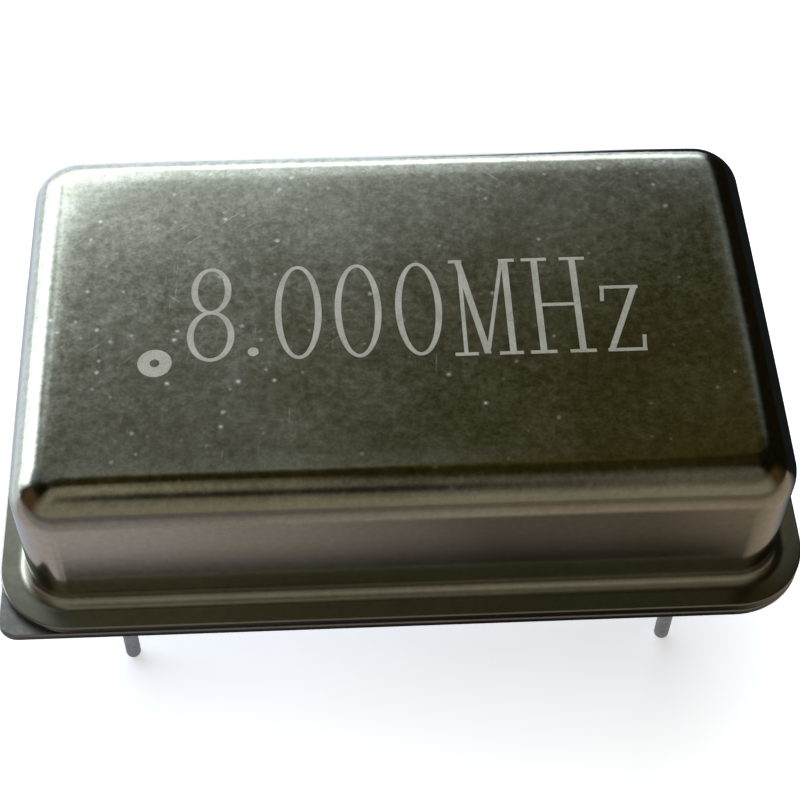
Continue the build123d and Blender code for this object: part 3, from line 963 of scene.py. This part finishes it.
# The floor as the can mirrors it is this painted glow of light and shade, not lit by the lamps
painted_floor_reflection = add_node(tree, "Emission", {"Color": hue.outputs[0], "Strength": glow})
mirrored = add_node(tree, "LightPath").outputs["Is Glossy Ray"]
mixed = add_node(tree, "MixShader", {0: mirrored, 1: shader.outputs[0], 2: painted_floor_reflection.outputs[0]})
tree.links.new(mixed.outputs[0], tree.nodes["Material Output"].inputs["Surface"])
dress(floor, material)


# Light: a soft room, with a wide bright window behind the object and to its left, a dim warm glow in front
# that turns brown at both ends, and a dark side behind to the right. A wide lamp overhead lights the table.
window_white = (0.9, 1.04, 1.25, 1)
ceiling_warm = (1.0, 0.96, 0.84, 1)
corner_warm = (1.0, 0.86, 0.25, 1)
side_brown = (1.0, 0.62, 0.32, 1)
backdrop_pale = (1.0, 1.0, 1.0, 1)
room_dim = 0.012
camera_shade = 0.15
lamp_width = 0.3
lamp_height = 0.3
lamp_energy = 0.55

world = bpy.data.worlds.new("soft_room")
bpy.context.scene.world = world
world.use_nodes = True
room = world.node_tree
facing = add_node(room, "TexCoord").outputs["Generated"]
parts = add_node(room, "SeparateXYZ", {"Vector": facing}).outputs
from_back = combine(room, "ARCTAN2", parts["X"], parts["Y"])
from_front = combine(room, "ARCTAN2", parts["X"], combine(room, "MULTIPLY", parts["Y"], -1.0))
rise = combine(room, "ARCSINE", parts["Z"], 0.0)


def panel(bearing, sides, heights, side_soft, height_soft):
    """How much a direction lies in a panel of the room, given by its bearings and heights in degrees."""
    first, last, low, high = (math.radians(angle) for angle in (*sides, *heights))
    soft = math.radians(side_soft)
    fade = math.radians(height_soft)
    left = spread(room, bearing, first - soft, first + soft)
    right = spread(room, bearing, last + soft, last - soft)
    foot = spread(room, rise, low - fade, low + fade)
    head = spread(room, rise, high + fade, high - fade)
    between_sides = combine(room, "MULTIPLY", left, right)
    return combine(room, "MULTIPLY", between_sides, combine(room, "MULTIPLY", foot, head))


camera_spot = panel(from_front, (-18, 9), (38, 55), 5, 5)
unblocked = spread(room, camera_spot, 0.0, 1.0, 1.0, camera_shade)
front_mid = panel(from_front, (-48, 8), (-6, 77), 10, 9)
front_right = panel(from_front, (8, 50), (-6, 66), 10, 9)
front_glow = combine(room, "ADD", front_mid, front_right)
front_left = panel(from_front, (-45, -5), (30, 78), 10, 9)
front_low = panel(from_front, (-48, 50), (-6, 27), 10, 9)
glows = (
    (window_white, panel(from_back, (-80, 18), (-12, 32), 7, 6), 1.9),
    (window_white, panel(from_back, (-80, -32), (-12, 32), 7, 6), 1.5),
    (window_white, panel(from_back, (-80, 18), (17, 32), 7, 6), 2.7),
    (window_white, panel(from_back, (-32, 8), (32, 43), 9, 7), 3.0),
    (window_white, panel(from_back, (8, 24), (32, 40), 8, 7), 0.9),
    (window_white, panel(from_back, (-26, -9), (36, 45), 6, 4), 2.0),
    (window_white, panel(from_back, (-80, -2), (30, 51), 8, 7), 0.42),
    (window_white, panel(from_back, (-80, 4), (54, 74), 9, 5), 0.13),
    (window_white, panel(from_back, (-80, 8), (58, 72), 9, 3), 0.12),
    (window_white, panel(from_back, (24, 44), (34, 46), 5, 4), 0.25),
    (corner_warm, panel(from_back, (-45, 40), (44, 76), 8, 5), 0.07),
    (corner_warm, panel(from_back, (-200, 200), (68, 100), 5, 6), 0.03),
    (side_brown, panel(from_front, (-88, -48), (-8, 36), 10, 6), 0.14),
    (side_brown, panel(from_front, (50, 80), (-8, 36), 10, 6), 0.12),
    (ceiling_warm, combine(room, "MULTIPLY", front_glow, unblocked), 0.2),
    (ceiling_warm, combine(room, "MULTIPLY", front_left, unblocked), 0.25),
    (ceiling_warm, front_low, 0.25),
)
whole = add_node(room, "Background", {"Color": corner_warm, "Strength": room_dim}).outputs[0]
for colour, share, strength in glows:
    inputs = {"Color": colour, "Strength": combine(room, "MULTIPLY", share, strength)}
    glow = add_node(room, "Background", inputs).outputs[0]
    whole = add_node(room, "AddShader", {0: whole, 1: glow}).outputs[0]
backdrop = add_node(room, "Background", {"Color": backdrop_pale, "Strength": 1.0}).outputs[0]
seen = add_node(room, "LightPath").outputs["Is Camera Ray"]
shown = add_node(room, "MixShader", {0: seen, 1: whole, 2: backdrop})
room.links.new(shown.outputs[0], room.nodes["World Output"].inputs["Surface"])

bpy.ops.object.light_add(type="AREA", location=(0, 0, lamp_height))
lamp = bpy.context.object
lamp.data.size = lamp_width
lamp.data.energy = lamp_energy
lamp.visible_glossy = False


# Camera, at the photograph's angle: it looks down on the top from in front and a little from the left, and
# is rolled a little.
camera_bearing = math.radians(-3.872)
camera_height = math.radians(54.04)
camera_roll = math.radians(1.364)
camera_distance = 47.566 * mm
camera_target = Vector((0.064, -0.886, 2.0)) * mm
camera_lens = 81.339
camera_near = 1 * mm
camera_far = 10
back = Vector((
    math.sin(camera_bearing) * math.cos(camera_height),
    -math.cos(camera_bearing) * math.cos(camera_height),
    math.sin(camera_height),
))
right = (-back).cross(Vector((0, 0, 1))).normalized()
up = right.cross(-back)
right, up = (
    math.cos(camera_roll) * right + math.sin(camera_roll) * up,
    math.cos(camera_roll) * up - math.sin(camera_roll) * right,
)
bpy.ops.object.camera_add()
camera = bpy.context.object
camera.data.lens = camera_lens
camera.data.clip_start = camera_near
camera.data.clip_end = camera_far
turned = Matrix((right, up, back)).transposed().to_4x4()
camera.matrix_world = Matrix.Translation(camera_target + camera_distance * back) @ turned
bpy.context.scene.camera = camera
bpy.context.scene.view_settings.view_transform = "Standard"
